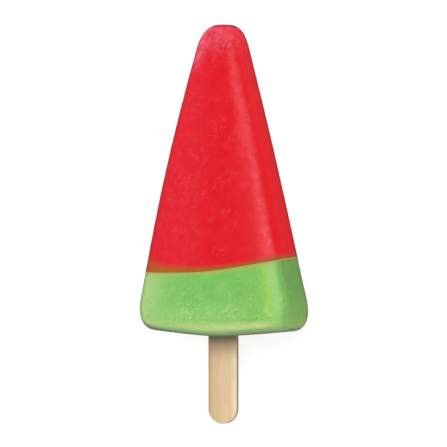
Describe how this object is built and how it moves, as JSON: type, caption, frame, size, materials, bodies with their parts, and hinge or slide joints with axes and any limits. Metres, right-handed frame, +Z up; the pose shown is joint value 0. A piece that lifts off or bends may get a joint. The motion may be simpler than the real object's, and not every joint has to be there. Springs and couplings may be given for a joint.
{
  "type": "ice lolly",
  "caption": "Wedge-shaped ice lolly with a rounded tip, red ice over a green base, frozen round a flat wooden stick; lies on its back.",
  "frame": {"origin": "centre of the footprint of the whole lolly, on the surface that it lies on", "axes": "+Y along the lolly to its tip, +Z up through the front face, +X to the right as seen from above with the tip away"},
  "size_m": [0.0538, 0.1286, 0.0244],
  "materials": {
    "red_ice": "frosted red water ice",
    "green_ice": "frosted green water ice with pale crystals",
    "stick_wood": "plain sawn birch, fine straight grain"
  },
  "bodies": {
    "root": {"red_ice": "red_ice", "green_ice": "green_ice", "stick": "stick_wood"}
  },
  "joints": []
}
